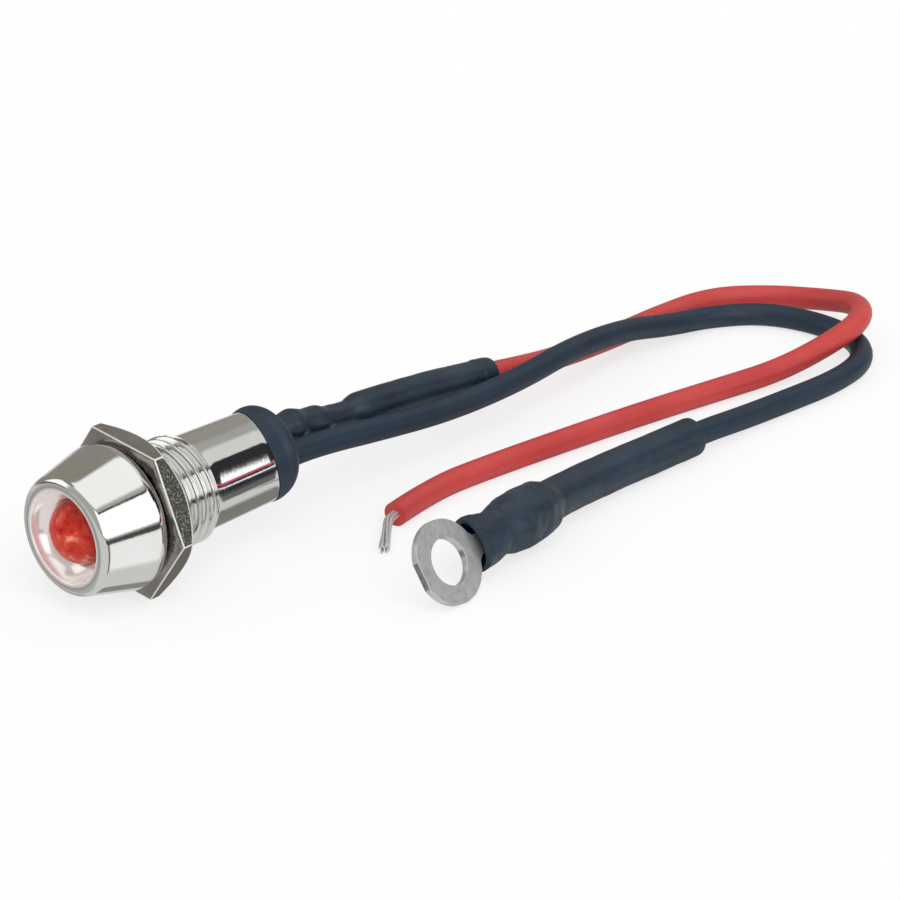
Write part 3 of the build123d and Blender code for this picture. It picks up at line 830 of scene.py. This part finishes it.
# the joint's sleeve is round: (x from the joint's start, radius)
joint_start = 13.7
joint_sizes = [(0.0, 0.95), (0.6, 0.95), (2.4, 1.02), (3.1, 1.16), (3.8, 1.28), (4.8, 1.08), (6.3, 1.20),
               (7.6, 0.94), (9.5, 0.93), (10.2, 1.12), (10.9, 1.27), (12.5, 1.24), (16.5, 1.20),
               (20.6, 1.21), (23.0, 1.23), (23.9, 1.30), (25.0, 1.32)]
joint_sizes = [(9.5, 1.9, 1.9)] + [(joint_start + x, 2 * r, 2 * r) for x, r in joint_sizes]
joint_mesh = sleeve("joint_sleeve", centreline("anode", anode_points), joint_sizes, V((0, 1, 0)), 0.25,
                    lambda x: 0.07 if x < 22 else 0.02, ring=37.4)
piece("joint_sleeve", joint_mesh, "resistor_sleeve", mat_shrink)

# the terminal's cover runs from the crimp barrel back over the black wire's last points
cover_points = [(17.09, -16.97, -2.9), (20.4, -16.46, -3.02), (24.58, -15.78, -3.3)] + black_points[:-6:-1]
cover_sizes = [(17.12, 4.1, 2.6), (18.7, 3.72, 2.75), (20.0, 3.42, 2.95), (21.2, 3.85, 3.6), (22.3, 4.18, 4.0),
               (24.3, 4.2, 4.06), (25.5, 4.05, 3.95), (26.3, 3.45, 3.4), (26.9, 3.1, 3.08), (31.0, 3.0, 2.98),
               (38.0, 3.0, 2.98), (43.9, 3.0, 2.98)]
cover_mesh = sleeve("terminal_cover", centreline("cover", cover_points), cover_sizes,
                    V((-0.058, 0.527, 0.849)), 0.35, lambda x: 0.13 if x < 26.6 else 0.03, seed=31.0)
cover = piece("terminal_cover", cover_mesh, "terminal_sleeve", mat_shrink)

# ------------------------------------------------------------------ ring terminal
normal = V((0.09, -0.844, 0.53)).normalized()
x_dir = V((0.994, 0.107, 0.001))
x_dir = (x_dir - normal * x_dir.dot(normal)).normalized()
ring_frame = Matrix((x_dir, normal.cross(x_dir), normal)).transposed().to_4x4()
ring_frame = Matrix.Translation(V((14.22, -17.34, -3.0)) * MM) @ ring_frame
sheet = 0.55

# flat blank: ring, its sheared edge and the tongue, as one outline
ring_r, stud_r = 3.05, 1.7
half_flat, half_tongue, fillet = 1.0, 0.75, 0.12
flat_x = -math.sqrt(ring_r ** 2 - half_flat ** 2)
neck = math.asin(half_tongue / ring_r)
flat_a = math.asin(half_flat / ring_r)
sweep = math.pi - flat_a - neck - fillet


def rim(first):
    """One side of the ring's rim, from an angle on."""
    turns = [first + sweep * i / 56 for i in range(57)]
    return [V((ring_r * math.cos(a), ring_r * math.sin(a))) for a in turns]


outline = rim(neck + fillet) + [V((flat_x, y)) for y in (0.5, 0.0, -0.5)] + rim(math.pi + flat_a)
outline += [V((3.2, -0.8)), V((3.45, -half_tongue))]
tongue_x = (3.9, 4.4, 4.8, 5.2, 5.6, 6.0, 6.5, 7.0, 7.6)
outline += [V((x, -half_tongue)) for x in tongue_x] + [V((x, half_tongue)) for x in tongue_x[::-1]]
outline += [V((3.45, half_tongue)), V((3.2, 0.8))]


def tongue_drop(x):
    """The tongue leaves the ring's plane towards the crimp barrel."""
    drop, drop_start, drop_len = 0.675, 4.6, 2.9
    return drop * ease(clamp((x - drop_start) / drop_len))


def blank_mesh():
    bm = bmesh.new()
    outer = [bm.verts.new((p.x, p.y, sheet / 2)) for p in outline]
    turns = [2 * math.pi * i / 72 for i in range(72)]
    inner = [bm.verts.new((stud_r * math.cos(a), stud_r * math.sin(a), sheet / 2)) for a in turns]
    edges = [bm.edges.new((a, b)) for ring in (outer, inner) for a, b in zip(ring, ring[1:] + ring[:1])]
    bmesh.ops.triangle_fill(bm, use_beauty=True, edges=edges, normal=(0, 0, 1))
    found = bmesh.ops.extrude_face_region(bm, geom=bm.faces[:])
    low = [v for v in found["geom"] if isinstance(v, bmesh.types.BMVert)]
    bmesh.ops.translate(bm, verts=low, vec=(0, 0, -sheet))
    bmesh.ops.recalc_face_normals(bm, faces=bm.faces)
    for v in bm.verts:
        v.co.z += tongue_drop(v.co.x)
        v.co *= MM
    mesh = bpy.data.meshes.new("blank")
    bm.to_mesh(mesh)
    bm.free()
    return mesh


blank = bevelled(blank_mesh(), 0.035, 50)
bm = bmesh.new()
bm.from_mesh(blank)
# rolled crimp barrel, whose seam lies underneath, away from the tongue
crimp_r, crimp_len, tilt, crimp_sides = 1.4, 3.8, math.radians(6), 64
crimp_start = V((7.7, 0, -0.45))
axis = V((math.cos(tilt), 0, -math.sin(tilt)))
rise = V((math.sin(tilt), 0, math.cos(tilt)))
gap = 0.16 / crimp_r / 2
rows = []
for x in (0.0, crimp_len * 0.5, crimp_len):
    for r in (crimp_r - sheet, crimp_r):
        row = []
        for j in range(crimp_sides + 1):
            a = -math.pi / 2 + gap + (2 * math.pi - 2 * gap) * j / crimp_sides
            p = crimp_start + axis * x + V((0, 1, 0)) * (r * math.cos(a)) + rise * (r * math.sin(a))
            row.append(bm.verts.new(p * MM))
        rows.append(row)


def crimp_strip(a, b):
    """Faces between two rows of the barrel."""
    for j in range(crimp_sides):
        bm.faces.new((a[j], a[j + 1], b[j + 1], b[j]))


for k in (0, 2):
    for side in (0, 1):
        crimp_strip(rows[k + side], rows[k + 2 + side])
    for j in (0, crimp_sides):
        bm.faces.new((rows[k][j], rows[k + 1][j], rows[k + 3][j], rows[k + 2][j]))
for k in (0, 4):
    crimp_strip(rows[k], rows[k + 1])
bmesh.ops.recalc_face_normals(bm, faces=bm.faces)
bm.to_mesh(blank)
bm.free()
# the ring's two faces are flat
for poly in blank.polygons:
    poly.use_smooth = abs(poly.normal.z) < 0.999 or poly.center.x > 4.5 * MM
blank.transform(ring_frame)
ring_piece = piece("eyelet_terminal", crease(blank, 35), "ring_terminal", mat_tin)
weigh_normals(ring_piece)

# ------------------------------------------------------------------ carried-over nodes
carried = {
    "led_die": mat_die, "led_cathode_leg": mat_lead, "led_anode_leg": mat_lead, "led_retainer": mat_cap,
    "cathode_solder": mat_solder, "cathode_sleeve": mat_shrink, "anode_solder": mat_solder,
    "resistor_front_lead": mat_lead, "resistor_body": mat_lacquer, "resistor_rear_lead": mat_lead,
    "red_solder": mat_solder, "red_core_tail": mat_strand, "black_core_tail": mat_strand,
    "black_crimp_core": mat_strand,
}
for obj in bpy.data.objects:
    material = carried.get(obj.name.split(".")[0])
    if obj.type == "MESH" and material:
        for slot in obj.material_slots:
            slot.link = "OBJECT"
            slot.material = material

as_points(red_line)
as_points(black_line)

# ------------------------------------------------------------------ floor
bpy.context.view_layer.update()
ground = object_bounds()[0][2]
corners = [V((x, y, ground)) for x, y in ((-4, -4), (4, -4), (4, 4), (-4, 4))]
floor_mesh = mesh_from("floor", corners, [(0, 1, 2, 3)], False)
add("floor", floor_mesh)
floor_mat = bpy.data.materials.new("floor")
floor_mat.use_nodes = True
floor_mesh.materials.append(floor_mat)
# most of what the camera sees of it is plain white, so the shadow is faint; metal looks through it
# at the world
tree = Nodes(floor_mat.node_tree)
rays = tree.new("LightPath").outputs
diffuse = tree.new("BsdfDiffuse")
diffuse.inputs["Color"].default_value = (0.97, 0.97, 0.97, 1)
white = tree.new("Emission")
white.inputs["Strength"].default_value = 1.0
seen = tree.blend(diffuse.outputs[0], white.outputs[0], tree.times(rays["Is Camera Ray"], 0.72))
seen = tree.blend(seen, tree.new("BsdfTransparent").outputs[0], rays["Is Glossy Ray"])
tree.link(seen, tree.new("OutputMaterial").inputs[0])

# ------------------------------------------------------------------ light
world = bpy.data.worlds.new("studio")
bpy.context.scene.world = world
world.use_nodes = True
sky = Nodes(world.node_tree)
deg = 180 / math.pi
x, y, z = sky.parts(sky.new("TexCoord").outputs["Generated"])
azimuth = sky.times(sky.math("ARCTAN2", y, x), deg)
height = sky.times(sky.math("ARCSINE", z), deg)


def step(value, at, soft):
    """0 below, 1 above, over a soft edge."""
    return sky.span(value, at - soft / 2, at + soft / 2, kind="SMOOTHSTEP")


def band(value, start, end, soft):
    return sky.times(step(value, start, soft), sky.math("SUBTRACT", 1.0, step(value, end, soft)))


def panel(az0, az1, el0, el1, soft_az, soft_el):
    """A mask for a part of the world, in degrees."""
    return sky.times(band(azimuth, az0, az1, soft_az), band(height, el0, el1, soft_el))


# what the bright metal mirrors: a pale table, a long softbox on the camera's side, a grey wall beyond
studio = sky.mix((0.66, 0.67, 0.66), (0.42, 0.42, 0.40), step(height, -2, 6))
studio = sky.mix(studio, (1.02, 1.03, 1.02), step(height, 54, 5))
# azimuth from and to, height from and to, and the softness of both, in degrees; then the colour
panels = [
    # the ground
    ((-86, -58, -52, -8, 10, 10), (0.96, 0.98, 0.97)),
    ((-112, -94, -60, -4, 6, 10), (0.17, 0.165, 0.16)),
    ((118, 150, -60, -8, 16, 10), (0.47, 0.46, 0.455)),
    ((57, 112, -60, -14, 12, 10), (0.45, 0.445, 0.41)),
    # painted shadow: the lamp's own shadow on the table below it, as two dark patches for the metal to mirror
    ((-30, 38, -58, -41, 14, 5), (0.23, 0.22, 0.20)),
    ((16, 42, -68, -50, 8, 6), (0.27, 0.26, 0.24)),
    # the far wall
    ((44, 140, -6, 63, 20, 6), (0.28, 0.26, 0.225)),
    ((30, 50, 4, 56, 16, 6), (0.33, 0.315, 0.29)),
    ((-36, 4, 30, 60, 14, 8), (0.73, 0.735, 0.72)),
    # softbox on the camera's side
    ((-140, -47.4, 2.5, 46, 0.8, 2), (1.35, 1.35, 1.35)),
    ((-110, -50, 44, 47.6, 4, 0.8), (0.03, 0.03, 0.03)),
    ((112, 142, 4, 40, 8, 3), (1.2, 1.2, 1.2)),
    ((-125, -56, -8, -0.5, 6, 2), (0.07, 0.07, 0.07)),
    ((112, 142, -6, 1, 8, 2), (0.07, 0.07, 0.07)),
    # its frame and what stands beside it
    ((-57, -38, -29, 2, 6, 4), (0.15, 0.145, 0.14)),
    ((-57, -38, -19, -13.4, 6, 1), (0.07, 0.07, 0.07)),
    ((-57, -38, -12.2, 0.6, 6, 0.6), (0.03, 0.03, 0.032)),
    ((-57, -38, -6.4, -4.0, 6, 0.8), (1.1, 1.1, 1.1)),
    ((-57, -40, 0.2, 4.0, 4, 0.6), (0.66, 0.09, 0.17)),
]
for box, color in panels:
    studio = sky.mix(studio, color, panel(*box))
# the dark gap beside the softbox, with a slanted edge
slant = sky.plus(sky.times(azimuth, 0.79), sky.times(height, 0.61))
beside = sky.times(panel(-47.2, -15, 3.4, 60, 0.8, 1), sky.math("SUBTRACT", 1.0, step(slant, -1.0, 2.0)))
dark = sky.math("MAXIMUM", beside, panel(-56, -46, 23.5, 42, 3, 2))
studio = sky.mix(studio, (0.028, 0.029, 0.032), dark)
# matt surfaces are lit evenly, and the camera sees white
rays = sky.new("LightPath").outputs
soft = sky.mix(studio, (0.72, 0.72, 0.72), rays["Is Diffuse Ray"])
soft = sky.mix(soft, (1.0, 1.0, 1.0), rays["Is Camera Ray"])
background = sky.new("Background")
sky.link(soft, background.inputs[0])
sky.link(background.outputs[0], sky.new("OutputWorld").inputs[0])

sun = add("key", bpy.data.lights.new("key", "SUN"))
sun.data.energy = 1.2
sun.data.angle = math.radians(50)
sun.rotation_euler = V((0.35, 0.75, -1.0)).normalized().to_track_quat("-Z", "Y").to_euler()
sun.visible_glossy = False

bpy.context.scene.view_settings.view_transform = "Standard"

bpy.context.view_layer.update()
